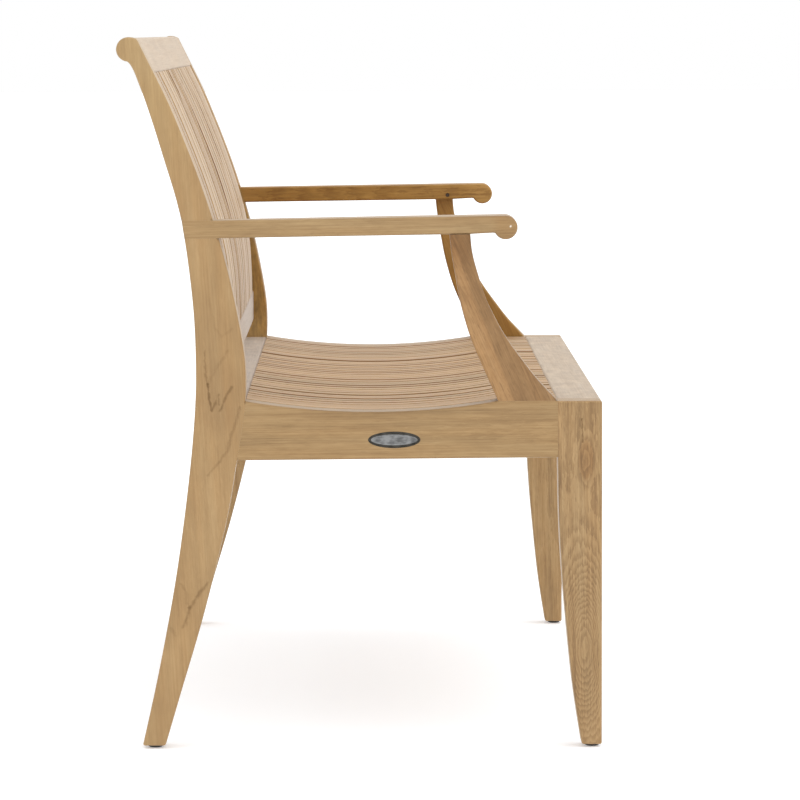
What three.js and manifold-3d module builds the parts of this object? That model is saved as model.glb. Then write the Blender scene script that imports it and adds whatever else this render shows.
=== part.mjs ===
// Teak garden bench: two-seat, scrolled head rail, scrolled arms, slatted seat and back.
// Millimetres. +X runs along the bench, -Y is the front, +Z is up.
// The origin is on the ground under the middle of the bench.
// "right" is the sitter's right hand, at -X; "left" is at +X.

import * as THREE from "three";
import { mergeVertices } from "three/addons/utils/BufferGeometryUtils.js";
import Module from "manifold-3d";

const wasm = await Module();
wasm.setup();

// ---------------------------------------------------------------- driving dimensions

const LENGTH = 1220;
const DEPTH = 620;
const HEIGHT = 915;

const LEG_THICK = 40; // legs, aprons and posts are sawn from one thickness of board
const OUTER = LENGTH / 2; // outside faces of the end frames
const INNER = OUTER - LEG_THICK; // inside faces of the end frames
const FRONT = -DEPTH / 2; // front face of the front legs

const FIT = 0.3; // play between two pieces that meet
const OVERLAP = 5; // how far a tenon is rooted in its own piece before the two are joined
const CLEAR = 1; // how far a cutting tool starts outside the piece that it cuts
const GLIDE_HEIGHT = 4; // plastic glides lift the timber off the ground

const SEAT_EDGE = 449; // top of the front rail and of the front legs
const DISH_FRONT = -176; // the dish of the seat starts here, behind a level strip
const DISH_MIDDLE = -16; // its lowest line
const DISH_RADIUS = 960;

const FRONT_RAIL_BACK = -253; // rear face of the front rail and of the front leg
const FRONT_FOOT_BACK = -284; // where the front leg's curved rear edge reaches the foot
const REAR_RAIL_FRONT = 148;
const REAR_RAIL_THICK = 35;
const REAR_RAIL_BOTTOM = 390;
const APRON_BOTTOM = 376; // at the front leg
const APRON_END = 170; // the apron is sawn this long, then fitted to the rear leg's curve
const APRON_END_BOTTOM = 373.2; // the apron deepens a little towards the rear leg

const SLAT_COUNT = 36; // in the seat, and again in the back
const SLATS_PER_GROUP = 3;
const SLAT_WIDTH = 25;
const SLAT_PITCH = (2 * INNER) / SLAT_COUNT;
const SEAT_SLAT_THICK = 14;
const BACK_SLAT_THICK = 12;
const TONGUE_THICK = 6;
const TONGUE_DEPTH = 10;

const BACK_RAIL_FRONT = 168; // lower back rail
const BACK_RAIL_THICK = 24;
const BACK_RAIL_BOTTOM = 476;
const BACK_RAIL_TOP = 522;

const SCROLL_RADIUS = 15.6; // round nose that tops the rear legs and the head rail
const SCROLL_Y = DEPTH / 2 - SCROLL_RADIUS;
const SCROLL_Z = HEIGHT - SCROLL_RADIUS;
const HEAD_RAIL_SHY = 1; // the head rail's nose is planed this much smaller
const HEAD_RAIL_DEPTH = 24; // thickness of the head rail at its lower edge

const ARM_WIDTH = 55; // over the front half; it narrows to the leg's thickness at the back
const ARM_TAPER_START = -60;
const ARM_TAPER_END = 150;
const ARM_TONGUE = 12; // thickness of the arm's tail, let into the outside of the rear leg
const ARM_NOSE_RADIUS = 15.3;
const ARM_NOSE_Y = -186.2;
const ARM_NOSE_Z = 671.4;

const ROD_SIDES = 12; // facets round a pin, a stem or its hole
const PIN_RADIUS = 3;
const PIN_Y = -132.5;
const PIN_Z = 669.5;
const PIN_COVER = { pin: 12, hole: 8 }; // timber left over the blind end, at the arm's outer side

const BADGE_Y = -43;
const BADGE_Z = 399.5;
const BADGE_LENGTH = 67;
const BADGE_HEIGHT = 21;
const BADGE_THICK = 1.1;
const BADGE_RECESS = 1;

// How many straight steps stand for a curve.
const CURVE_STEPS = 5;
const POST_STEPS = 3;
const ROUND_NOSE_STEPS = 22; // round the scroll, and round an arm's nose
const EDGE_SAMPLES = 200; // points at which an edge of the rear leg is looked up
const OVAL_STEPS = 16;
const APRON_DISH_STEPS = 16;
const BRACE_DISH_STEPS = 10;
const SEAT_SLAT_STEPS = 5;
const BACK_SLAT_STEPS = 6;

// ---------------------------------------------------------------- materials

const TEAK = { color: 0xc4a172, roughness: 0.72, metalness: 0 };
const TEAK_PALE = { color: 0xcbb090, roughness: 0.75, metalness: 0 };
const TEAK_DARK = { color: 0xa98660, roughness: 0.72, metalness: 0 };
const BLACK_NYLON = { color: 0x17171a, roughness: 0.55, metalness: 0 };
const PEWTER = { color: 0x8f9196, roughness: 0.38, metalness: 1 };

// ---------------------------------------------------------------- solids

function solidOf(geometry) {
  const bare = geometry.index ? geometry.toNonIndexed() : geometry;
  bare.deleteAttribute("normal");
  bare.deleteAttribute("uv");
  const merged = mergeVertices(bare, 1e-4);
  const vertProperties = new Float32Array(merged.attributes.position.array);
  const triVerts = new Uint32Array(merged.index.array);
  return new wasm.Manifold(new wasm.Mesh({ numProp: 3, vertProperties, triVerts }));
}

function geometryOf(solid) {
  const mesh = solid.getMesh();
  const geometry = new THREE.BufferGeometry();
  geometry.setAttribute("position", new THREE.BufferAttribute(mesh.vertProperties, 3));
  geometry.setIndex(new THREE.BufferAttribute(mesh.triVerts, 1));
  geometry.computeVertexNormals();
  return geometry;
}

// A side-view outline, drawn in (Y, Z), sawn out of a board that spans xA to xB.
function plank(outline, xA, xB, curveSegments = CURVE_STEPS) {
  const depth = Math.abs(xB - xA);
  const geometry = new THREE.ExtrudeGeometry(outline, { depth, bevelEnabled: false, curveSegments });
  const axes = new THREE.Matrix4().makeBasis(
    new THREE.Vector3(0, 1, 0),
    new THREE.Vector3(0, 0, 1),
    new THREE.Vector3(1, 0, 0),
  );
  geometry.applyMatrix4(axes);
  geometry.translate(Math.min(xA, xB), 0, 0);
  return solidOf(geometry);
}

function block(xA, xB, yA, yB, zA, zB) {
  const geometry = new THREE.BoxGeometry(Math.abs(xB - xA), Math.abs(yB - yA), Math.abs(zB - zA));
  geometry.translate((xA + xB) / 2, (yA + yB) / 2, (zA + zB) / 2);
  return solidOf(geometry);
}

// A plan outline, drawn in (X, Y), standing from zA to zB.
function slab(points, zA, zB) {
  const outline = new THREE.Shape(points.map(([x, y]) => new THREE.Vector2(x, y)));
  const geometry = new THREE.ExtrudeGeometry(outline, { depth: zB - zA, bevelEnabled: false });
  geometry.translate(0, 0, zA);
  return solidOf(geometry);
}

function polygon(points) {
  return new THREE.Shape(points.map(([y, z]) => new THREE.Vector2(y, z)));
}

function curveOf(points) {
  return points.map(([y, z]) => new THREE.Vector2(y, z));
}

// Straight steps round a nose: the outline goes on about its centre, from one angle to another (degrees).
function drawNose(outline, y, z, radius, from, to) {
  for (let i = 0; i <= ROUND_NOSE_STEPS; i++) {
    const angle = THREE.MathUtils.degToRad(from + ((to - from) * i) / ROUND_NOSE_STEPS);
    outline.lineTo(y + radius * Math.cos(angle), z + radius * Math.sin(angle));
  }
}

// A strip that starts at a point in the side view and runs along a direction there.
// It is 2 * half thick, and spans from .. to along the direction.
function strip(end, half, from, to) {
  const across = { y: end.dz, z: -end.dy };
  const corner = (along, side) => [
    end.y + end.dy * along + across.y * side,
    end.z + end.dz * along + across.z * side,
  ];
  return polygon([corner(from, half), corner(to, half), corner(to, -half), corner(from, -half)]);
}

// ---------------------------------------------------------------- shared outlines

// Height of the dish above its lowest line.
function dishRise(y) {
  return DISH_RADIUS - Math.sqrt(DISH_RADIUS ** 2 - (y - DISH_MIDDLE) ** 2);
}

function seatTop(y) {
  if (y < DISH_FRONT) return SEAT_EDGE;
  return SEAT_EDGE - dishRise(DISH_FRONT) + dishRise(y);
}

// Points along the seat's upper surface from yA to yB, lowered by drop.
function seatLine(yA, yB, steps, drop = 0) {
  const points = [];
  for (let i = 0; i <= steps; i++) {
    const y = yA + ((yB - yA) * i) / steps;
    points.push([y, seatTop(y) - drop]);
  }
  return points;
}

const HEAD_FRONT = { y: 262.4, z: 870 }; // lower front edge of the head rail
const HEAD_CORNER = { y: 282.9, z: 911.3 }; // where its front face turns over the top
const headRise = Math.hypot(HEAD_CORNER.y - HEAD_FRONT.y, HEAD_CORNER.z - HEAD_FRONT.z);
const HEAD_SLOPE = {
  y: (HEAD_CORNER.y - HEAD_FRONT.y) / headRise,
  z: (HEAD_CORNER.z - HEAD_FRONT.z) / headRise,
};
const HEAD_TURN = { y: 285.5, z: 914.2 }; // draws that turn towards itself
const SCROLL_NECK = { y: 291.5, z: 881.5 }; // draws the hollow under the scroll towards itself
const SCROLL_ARC = [96, -84]; // degrees, over the top and round the back
const LEG_BACK_TOP = { y: 286, z: 868 }; // the back edge of the leg, under the scroll

// The scroll, drawn from the top of the front face round to the back edge.
function drawScroll(outline, radius) {
  const start = THREE.MathUtils.degToRad(SCROLL_ARC[0]);
  outline.lineTo(HEAD_CORNER.y, HEAD_CORNER.z);
  outline.quadraticCurveTo(
    HEAD_TURN.y,
    HEAD_TURN.z,
    SCROLL_Y + radius * Math.cos(start),
    SCROLL_Z + radius * Math.sin(start),
  );
  drawNose(outline, SCROLL_Y, SCROLL_Z, radius, ...SCROLL_ARC);
  outline.quadraticCurveTo(SCROLL_NECK.y, SCROLL_NECK.z, LEG_BACK_TOP.y, LEG_BACK_TOP.z);
}

const LEG_FRONT_EDGE = [
  [253, GLIDE_HEIGHT],
  [232, 75],
  [202.6, 174],
  [173.5, 291],
  [158.5, 376],
  [149.5, 432],
  [147, 475],
  [150, 519],
  [164, 594],
  [180, 656],
  [204, 731],
  [238, 818],
  [HEAD_FRONT.y, HEAD_FRONT.z],
];

const LEG_BACK_EDGE = [
  [LEG_BACK_TOP.y, LEG_BACK_TOP.z],
  [271, 827],
  [252, 766],
  [229, 684],
  [215, 582],
  [211, 500],
  [213, 430],
  [222.4, 335],
  [238.7, 219],
  [260.6, 102],
  [282.4, GLIDE_HEIGHT],
];

function rearLegOutline() {
  const outline = new THREE.Shape();
  outline.moveTo(...LEG_FRONT_EDGE[0]);
  outline.splineThru(curveOf(LEG_FRONT_EDGE.slice(1)));
  drawScroll(outline, SCROLL_RADIUS);
  outline.splineThru(curveOf(LEG_BACK_EDGE.slice(1)));
  return outline;
}

// Height to Y along an edge of the rear leg, read off its spline.
function edgeAt(edge, z) {
  const points = new THREE.SplineCurve(curveOf(edge)).getPoints(EDGE_SAMPLES);
  const nearest = points.reduce((a, b) => (Math.abs(a.y - z) < Math.abs(b.y - z) ? a : b));
  return nearest.x;
}

// ---------------------------------------------------------------- slat ends and grooves

const SEAT_TONGUE_RISE = 5; // middle of the tongue above the underside of a seat slat

const SEAT_FRONT_END = {
  y: FRONT_RAIL_BACK,
  z: SEAT_EDGE - SEAT_SLAT_THICK + SEAT_TONGUE_RISE,
  dy: -1,
  dz: 0,
};
const SEAT_REAR_END = {
  y: REAR_RAIL_FRONT,
  z: seatTop(REAR_RAIL_FRONT) - SEAT_SLAT_THICK + SEAT_TONGUE_RISE,
  dy: 1,
  dz: 0,
};
const BACK_FRONT_LINE = [
  [BACK_RAIL_FRONT, BACK_RAIL_TOP + FIT],
  [169, 560],
  [172, 603],
  [181, 656],
  [204, 731],
  [238, 818],
  [HEAD_FRONT.y - FIT * HEAD_SLOPE.y, HEAD_FRONT.z - FIT * HEAD_SLOPE.z],
];
const BACK_LOWER_END = {
  y: BACK_RAIL_FRONT + BACK_SLAT_THICK / 2,
  z: BACK_RAIL_TOP,
  dy: 0,
  dz: -1,
};
const BACK_UPPER_END = {
  y: HEAD_FRONT.y + (HEAD_SLOPE.z * BACK_SLAT_THICK) / 2,
  z: HEAD_FRONT.z - (HEAD_SLOPE.y * BACK_SLAT_THICK) / 2,
  dy: HEAD_SLOPE.y,
  dz: HEAD_SLOPE.z,
};

// The groove in a rail that takes the tongues of every slat.
function grooveFor(end) {
  return plank(strip(end, TONGUE_THICK / 2 + FIT, -CLEAR, TONGUE_DEPTH + FIT), -INNER, INNER);
}

// ---------------------------------------------------------------- tenons

// Where the rails enter the inside faces of the end frames: X depth and a (Y, Z) section.
const RAIL_TENON = 18;
const FRONT_RAIL_TENON = { y: [-302, -288], z: [388, 432] };
const REAR_RAIL_TENON = { y: [160, 172], z: [400, 428] };
const BACK_RAIL_TENON = { y: [174, 186], z: [484, 510] };
const HEAD_TENON = { y: 276.5, z: 881, dy: HEAD_SLOPE.y, dz: HEAD_SLOPE.z, half: 5, long: 12 };

// Where the aprons enter the legs, and the posts enter the aprons and the arms.
const APRON_TENON = { x: [INNER + 23, INNER + 33], z: [388, 430], deep: 28 };
const APRON_REAR_TENON = { y: [130, 160 + APRON_TENON.deep] };
const POST_TENON_X = [INNER + 8, INNER + 28];
const POST_FOOT_TENON = { y: [-226, -196], z: [427, SEAT_EDGE + 1] };
const POST_HEAD_TENON = { y: [-138.5, -124.5], z: [660, 676] };

const BRACE_HALF = 14; // the brace under the middle of the seat
const BRACE_TENON_DEEP = 15;
const BRACE_TENON = { half: 7, z: [398, 420] };

function tenon(xA, xB, section, play = 0) {
  const [yA, yB] = section.y;
  const [zA, zB] = section.z;
  return block(xA, xB, yA - play, yB + play, zA - play, zB + play);
}

// A rail's tenon at one end of the bench, or the mortise for it when play is given.
function railTenon(side, section, play = 0) {
  const root = play ? INNER - CLEAR : INNER - OVERLAP;
  return tenon(side * root, side * (INNER + RAIL_TENON + play), section, play);
}

function headTenon(side, play = 0) {
  const long = HEAD_TENON.long + play;
  const root = play ? INNER - CLEAR : INNER - OVERLAP;
  const outline = strip(HEAD_TENON, HEAD_TENON.half + play, -long, long);
  return plank(outline, side * root, side * (INNER + RAIL_TENON + play));
}

function apronTenon(side, yA, yB, play = 0) {
  const [xA, xB] = APRON_TENON.x;
  const [zA, zB] = APRON_TENON.z;
  return block(side * (xA - play), side * (xB + play), yA, yB, zA - play, zB + play);
}

function postTenon(side, section, play = 0) {
  const [xA, xB] = POST_TENON_X;
  return tenon(side * (xA - play), side * (xB + play), section, play);
}

function uprightRod(x, y, radius, zA, zB) {
  const geometry = new THREE.CylinderGeometry(radius, radius, zB - zA, ROD_SIDES);
  geometry.rotateX(Math.PI / 2);
  geometry.translate(x, y, (zA + zB) / 2);
  return solidOf(geometry);
}

function levelRod(xA, xB, y, z, radius) {
  const geometry = new THREE.CylinderGeometry(radius, radius, Math.abs(xB - xA), ROD_SIDES);
  geometry.rotateZ(Math.PI / 2);
  geometry.translate((xA + xB) / 2, y, z);
  return solidOf(geometry);
}

// ---------------------------------------------------------------- feet

const GLIDE_RADIUS = 9.3;
const GLIDE_CHAMFER = 1.2;
const STEM_RADIUS = 2;
const STEM_HEIGHT = 14;
const FRONT_FOOT_Y = -298;
const REAR_FOOT_Y = 266.5;
const FOOT_X = OUTER - LEG_THICK / 2;

function glideSocket(side, y) {
  return uprightRod(side * FOOT_X, y, STEM_RADIUS + FIT, -CLEAR, GLIDE_HEIGHT + STEM_HEIGHT + FIT);
}

function footGlide(side, y) {
  const profile = [
    [0, 0],
    [GLIDE_RADIUS - GLIDE_CHAMFER, 0],
    [GLIDE_RADIUS, GLIDE_CHAMFER],
    [GLIDE_RADIUS, GLIDE_HEIGHT - FIT],
    [STEM_RADIUS, GLIDE_HEIGHT - FIT],
    [STEM_RADIUS, GLIDE_HEIGHT + STEM_HEIGHT],
    [0, GLIDE_HEIGHT + STEM_HEIGHT],
  ];
  const geometry = new THREE.LatheGeometry(curveOf(profile), 2 * ROD_SIDES);
  geometry.rotateX(Math.PI / 2);
  geometry.translate(side * FOOT_X, y, 0);
  return solidOf(geometry);
}

// ---------------------------------------------------------------- end frames

function frontLeg(side) {
  const outline = new THREE.Shape();
  outline.moveTo(FRONT, GLIDE_HEIGHT);
  outline.lineTo(FRONT_FOOT_BACK, GLIDE_HEIGHT);
  outline.splineThru(curveOf([
    [-272.6, 78],
    [-263.4, 165],
    [-258, 230],
    [-254.2, 303],
    [FRONT_RAIL_BACK, APRON_BOTTOM],
  ]));
  outline.lineTo(FRONT_RAIL_BACK, SEAT_EDGE);
  outline.lineTo(FRONT, SEAT_EDGE);
  const deepest = FRONT_RAIL_BACK - APRON_TENON.deep - FIT;
  return plank(outline, side * INNER, side * OUTER)
    .subtract(railTenon(side, FRONT_RAIL_TENON, FIT))
    .subtract(apronTenon(side, deepest, FRONT_RAIL_BACK + CLEAR, FIT))
    .subtract(glideSocket(side, FRONT_FOOT_Y));
}

// Band of the side view that the arm's tail fills where it crosses the rear leg.
// Its housing in the leg is the same band, with play all round, open at the leg's back edge.
function armTailOutline(play) {
  const open = play ? ARM_TAIL_FRONT.open : 0;
  const front = ARM_TAIL_FRONT.y;
  const lowBack = edgeAt(LEG_BACK_EDGE, armUnderside(ARM_BACK.y)) + open;
  const highBack = edgeAt(LEG_BACK_EDGE, ARM_BACK.top) + open;
  return polygon([
    [front, armUnderside(front) - play],
    [lowBack, armUnderside(lowBack) - play],
    [highBack, armTop(highBack) + play],
    [front, armTop(front) + play],
  ]);
}

function rearLeg(side) {
  const housing = plank(armTailOutline(FIT), side * (OUTER - ARM_TONGUE - FIT), side * (OUTER + CLEAR));
  const [apronA, apronB] = APRON_REAR_TENON.y;
  return plank(rearLegOutline(), side * INNER, side * OUTER)
    .subtract(housing)
    .subtract(headTenon(side, FIT))
    .subtract(railTenon(side, BACK_RAIL_TENON, FIT))
    .subtract(railTenon(side, REAR_RAIL_TENON, FIT))
    .subtract(apronTenon(side, apronA, apronB + FIT, FIT))
    .subtract(glideSocket(side, REAR_FOOT_Y));
}

// The shoulder of the apron against the curved front edge of the rear leg.
function rearLegClearance(side) {
  const leg = plank(rearLegOutline(), side * (INNER - CLEAR), side * (OUTER + CLEAR));
  return leg.add(leg.translate([0, -FIT, 0]));
}

function sideApron(side) {
  const start = FRONT_RAIL_BACK + FIT;
  const outline = polygon([
    [start, APRON_BOTTOM],
    [APRON_END, APRON_END_BOTTOM],
    ...seatLine(APRON_END, DISH_FRONT, APRON_DISH_STEPS),
    [DISH_FRONT - CLEAR, SEAT_EDGE],
    [start, SEAT_EDGE],
  ]);
  const frontTenon = apronTenon(side, FRONT_RAIL_BACK - APRON_TENON.deep, start + OVERLAP);
  const rearTenon = apronTenon(side, ...APRON_REAR_TENON.y);
  return plank(outline, side * INNER, side * OUTER)
    .subtract(rearLegClearance(side))
    .subtract(postTenon(side, POST_FOOT_TENON, FIT))
    .add(frontTenon)
    .add(rearTenon);
}

// ---------------------------------------------------------------- arms and posts

const ARM_BACK = { y: 226, top: 680.9, thick: 22.9 };
const ARM_BODY_END = 205; // the full width stops here, inside the leg's outline, and is scribed to it
const ARM_WAIST_START = -141; // just in front of the post; from here the arm thins a little
const ARM_NECK = { y: -170, thick: 21.9 }; // just behind the nose
const ARM_NOSE_ARC = [90, 332]; // degrees, over the front and back under it
const ARM_TAIL_FRONT = { y: 150, open: 20 }; // the tail starts inside the arm, before the leg
const armRise = (ARM_NOSE_Z + ARM_NOSE_RADIUS - ARM_BACK.top) / (ARM_BACK.y - ARM_NOSE_Y);

function armTop(y) {
  return ARM_BACK.top + (ARM_BACK.y - y) * armRise;
}

function armUnderside(y) {
  return armTop(y) - ARM_BACK.thick;
}

function armOutline() {
  const outline = new THREE.Shape();
  outline.moveTo(ARM_BODY_END, armUnderside(ARM_BODY_END));
  outline.lineTo(ARM_BODY_END, armTop(ARM_BODY_END));
  drawNose(outline, ARM_NOSE_Y, ARM_NOSE_Z, ARM_NOSE_RADIUS, ...ARM_NOSE_ARC);
  outline.lineTo(ARM_NECK.y, armTop(ARM_NECK.y) - ARM_NECK.thick);
  outline.lineTo(ARM_WAIST_START, armUnderside(ARM_WAIST_START));
  return outline;
}

function armPlan(side) {
  const outline = [
    [side * (OUTER + CLEAR), -DEPTH],
    [side * (OUTER + CLEAR), DEPTH],
    [side * INNER, DEPTH],
    [side * INNER, ARM_TAPER_END],
    [side * (OUTER - ARM_WIDTH), ARM_TAPER_START],
    [side * (OUTER - ARM_WIDTH), -DEPTH],
  ];
  return slab(outline, 0, HEIGHT);
}

function arm(side) {
  const body = plank(armOutline(), side * (OUTER - ARM_WIDTH), side * OUTER).intersect(armPlan(side));
  const tail = plank(armTailOutline(0), side * (OUTER - ARM_TONGUE), side * OUTER);
  const pinHole = levelRod(
    side * (OUTER - ARM_WIDTH - CLEAR),
    side * (OUTER - PIN_COVER.hole),
    PIN_Y,
    PIN_Z,
    PIN_RADIUS + FIT,
  );
  return body
    .subtract(rearLegClearance(side))
    .add(tail)
    .subtract(postTenon(side, POST_HEAD_TENON, FIT))
    .subtract(pinHole);
}

function armPost(side) {
  const outline = new THREE.Shape();
  const rear = [
    [-113.6, 672],
    [-117, 640],
    [-123.2, 602],
    [-129.4, 570],
    [-140, 533],
    [-153, 501],
    [-165, 474],
    [-176, SEAT_EDGE + FIT],
  ];
  const front = [
    [-228, 475],
    [-210, 498],
    [-189, 527],
    [-175, 551],
    [-161, 580],
    [-152.2, 607],
    [-143.4, 640],
    [-140.4, 672],
  ];
  outline.moveTo(...rear[0]);
  outline.splineThru(curveOf(rear.slice(1)));
  outline.lineTo(FRONT_RAIL_BACK + FIT, SEAT_EDGE + FIT);
  outline.splineThru(curveOf(front));
  const [headA, headB] = POST_HEAD_TENON.z;
  const head = postTenon(side, { y: POST_HEAD_TENON.y, z: [headA - OVERLAP, headB] });
  const foot = postTenon(side, { y: POST_FOOT_TENON.y, z: [POST_FOOT_TENON.z[0], SEAT_EDGE + OVERLAP] });
  const scribe = polygon([
    [FRONT, armUnderside(FRONT) - FIT],
    [0, armUnderside(0) - FIT],
    [0, HEIGHT],
    [FRONT, HEIGHT],
  ]);
  const overArm = plank(scribe, side * (INNER - CLEAR), side * (OUTER + CLEAR));
  const pinHole = levelRod(side * (INNER - CLEAR), side * OUTER, PIN_Y, PIN_Z, PIN_RADIUS + FIT);
  return plank(outline, side * INNER, side * OUTER, POST_STEPS)
    .subtract(overArm)
    .add(head)
    .add(foot)
    .subtract(pinHole);
}

function armPin(side) {
  const blindEnd = side * (OUTER - PIN_COVER.pin);
  return levelRod(side * (OUTER - ARM_WIDTH), blindEnd, PIN_Y, PIN_Z, PIN_RADIUS);
}

// ---------------------------------------------------------------- long rails

function frontSeatRail() {
  const half = INNER - FIT;
  return block(-half, half, FRONT, FRONT_RAIL_BACK, APRON_BOTTOM, SEAT_EDGE)
    .add(railTenon(-1, FRONT_RAIL_TENON))
    .add(railTenon(1, FRONT_RAIL_TENON))
    .subtract(grooveFor(SEAT_FRONT_END))
    .subtract(braceTenon(FRONT_RAIL_BACK + CLEAR, -BRACE_TENON_DEEP - CLEAR, FIT));
}

function rearSeatRail() {
  const half = INNER - FIT;
  const top = seatTop(REAR_RAIL_FRONT);
  const back = REAR_RAIL_FRONT + REAR_RAIL_THICK;
  return block(-half, half, REAR_RAIL_FRONT, back, REAR_RAIL_BOTTOM, top)
    .add(railTenon(-1, REAR_RAIL_TENON))
    .add(railTenon(1, REAR_RAIL_TENON))
    .subtract(grooveFor(SEAT_REAR_END))
    .subtract(braceTenon(REAR_RAIL_FRONT - CLEAR, BRACE_TENON_DEEP + CLEAR, FIT));
}

function braceTenon(y, deep, play = 0) {
  const [zA, zB] = BRACE_TENON.z;
  const half = BRACE_TENON.half + play;
  return block(-half, half, y, y + deep + Math.sign(deep) * play, zA - play, zB + play);
}

function seatBrace() {
  const start = FRONT_RAIL_BACK + FIT;
  const end = REAR_RAIL_FRONT - FIT;
  const under = SEAT_SLAT_THICK + FIT;
  const outline = polygon([
    [start, REAR_RAIL_BOTTOM],
    [end, REAR_RAIL_BOTTOM],
    ...seatLine(end, DISH_FRONT, BRACE_DISH_STEPS, under),
    [start, SEAT_EDGE - under],
  ]);
  return plank(outline, -BRACE_HALF, BRACE_HALF)
    .add(braceTenon(start + OVERLAP, -BRACE_TENON_DEEP - OVERLAP))
    .add(braceTenon(end - OVERLAP, BRACE_TENON_DEEP + OVERLAP));
}

function lowerBackRail() {
  const half = INNER - FIT;
  const back = BACK_RAIL_FRONT + BACK_RAIL_THICK;
  return block(-half, half, BACK_RAIL_FRONT, back, BACK_RAIL_BOTTOM, BACK_RAIL_TOP)
    .add(railTenon(-1, BACK_RAIL_TENON))
    .add(railTenon(1, BACK_RAIL_TENON))
    .subtract(grooveFor(BACK_LOWER_END));
}

function headRail() {
  const half = INNER - FIT;
  const outline = new THREE.Shape();
  outline.moveTo(HEAD_FRONT.y, HEAD_FRONT.z);
  drawScroll(outline, SCROLL_RADIUS - HEAD_RAIL_SHY);
  outline.lineTo(
    HEAD_FRONT.y + HEAD_SLOPE.z * HEAD_RAIL_DEPTH,
    HEAD_FRONT.z - HEAD_SLOPE.y * HEAD_RAIL_DEPTH,
  );
  return plank(outline, -half, half)
    .add(headTenon(-1))
    .add(headTenon(1))
    .subtract(grooveFor(BACK_UPPER_END));
}

// ---------------------------------------------------------------- slats

// Slats of one group, with the tongues and spacers that lie inside the rails' grooves.
function slatGroup(first, outline, ends) {
  const tongue = TONGUE_DEPTH - FIT;
  const left = -INNER + first * SLAT_PITCH;
  const right = left + SLATS_PER_GROUP * SLAT_PITCH;
  const pieces = [];
  for (const end of ends) {
    const spacer = strip(end, TONGUE_THICK / 2, FIT, tongue);
    pieces.push(plank(spacer, left + FIT, right - FIT));
  }
  for (let i = 0; i < SLATS_PER_GROUP; i++) {
    const middle = left + (i + 0.5) * SLAT_PITCH;
    const xA = middle - SLAT_WIDTH / 2;
    const xB = middle + SLAT_WIDTH / 2;
    pieces.push(plank(outline, xA, xB));
    for (const end of ends) {
      pieces.push(plank(strip(end, TONGUE_THICK / 2, -OVERLAP, tongue), xA, xB));
    }
  }
  return pieces.reduce((whole, piece) => whole.add(piece));
}

function seatSlatOutline() {
  const start = FRONT_RAIL_BACK + FIT;
  const end = REAR_RAIL_FRONT - FIT;
  return polygon([
    [start, SEAT_EDGE],
    [start, SEAT_EDGE - SEAT_SLAT_THICK],
    ...seatLine(DISH_FRONT, end, SEAT_SLAT_STEPS, SEAT_SLAT_THICK),
    ...seatLine(end, DISH_FRONT, SEAT_SLAT_STEPS),
  ]);
}

function backSlatOutline() {
  const curve = new THREE.SplineCurve(curveOf(BACK_FRONT_LINE));
  const steps = BACK_SLAT_STEPS;
  const front = [];
  const back = [];
  for (let i = 0; i <= steps; i++) {
    const point = curve.getPointAt(i / steps);
    const along = curve.getTangentAt(i / steps);
    if (i === 0) along.set(0, 1);
    if (i === steps) along.set(HEAD_SLOPE.y, HEAD_SLOPE.z);
    front.push([point.x, point.y]);
    back.unshift([point.x + along.y * BACK_SLAT_THICK, point.y - along.x * BACK_SLAT_THICK]);
  }
  return polygon([...front, ...back].reverse());
}

// ---------------------------------------------------------------- badge

function badgeOutline(play) {
  const outline = new THREE.Shape();
  const halfLength = BADGE_LENGTH / 2 + play;
  const halfHeight = BADGE_HEIGHT / 2 + play;
  outline.absellipse(BADGE_Y, BADGE_Z, halfLength, halfHeight, 0, 2 * Math.PI, false);
  return outline;
}

// A plain oval plate let into the outside of the right-hand apron.
function badge() {
  const back = -OUTER + BADGE_RECESS - FIT;
  return plank(badgeOutline(0), back - BADGE_THICK, back, OVAL_STEPS);
}

function badgeRecess() {
  return plank(badgeOutline(FIT), -OUTER - CLEAR, -OUTER + BADGE_RECESS, OVAL_STEPS);
}

// ---------------------------------------------------------------- assembly

const bench = new THREE.Group();

function place(name, solid, finish) {
  const mesh = new THREE.Mesh(geometryOf(solid), new THREE.MeshStandardMaterial(finish));
  mesh.name = name;
  bench.add(mesh);
}

for (const [hand, side] of [["right", -1], ["left", 1]]) {
  const apron = sideApron(side);
  place(`rear_leg_${hand}`, rearLeg(side), TEAK);
  place(`front_leg_${hand}`, frontLeg(side), TEAK);
  place(`side_apron_${hand}`, side < 0 ? apron.subtract(badgeRecess()) : apron, TEAK);
  place(`arm_${hand}`, arm(side), TEAK);
  place(`arm_post_${hand}`, armPost(side), TEAK_DARK);
  place(`arm_pin_${hand}`, armPin(side), TEAK_DARK);
  place(`front_foot_glide_${hand}`, footGlide(side, FRONT_FOOT_Y), BLACK_NYLON);
  place(`rear_foot_glide_${hand}`, footGlide(side, REAR_FOOT_Y), BLACK_NYLON);
}

place("front_seat_rail", frontSeatRail(), TEAK_PALE);
place("rear_seat_rail", rearSeatRail(), TEAK_PALE);
place("seat_brace", seatBrace(), TEAK);
place("lower_back_rail", lowerBackRail(), TEAK_PALE);
place("head_rail", headRail(), TEAK_PALE);
place("badge", badge(), PEWTER);

for (let first = 0; first < SLAT_COUNT; first += SLATS_PER_GROUP) {
  const number = String(first / SLATS_PER_GROUP + 1).padStart(2, "0");
  const seatEnds = [SEAT_FRONT_END, SEAT_REAR_END];
  const backEnds = [BACK_LOWER_END, BACK_UPPER_END];
  place(`seat_slats_${number}`, slatGroup(first, seatSlatOutline(), seatEnds), TEAK_PALE);
  place(`back_slats_${number}`, slatGroup(first, backSlatOutline(), backEnds), TEAK_PALE);
}

export default bench;
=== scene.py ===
import math
import random

import bmesh
import bpy
from mathutils import Matrix, Vector
from mathutils.bvhtree import BVHTree
from mathutils.geometry import intersect_point_line


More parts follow.
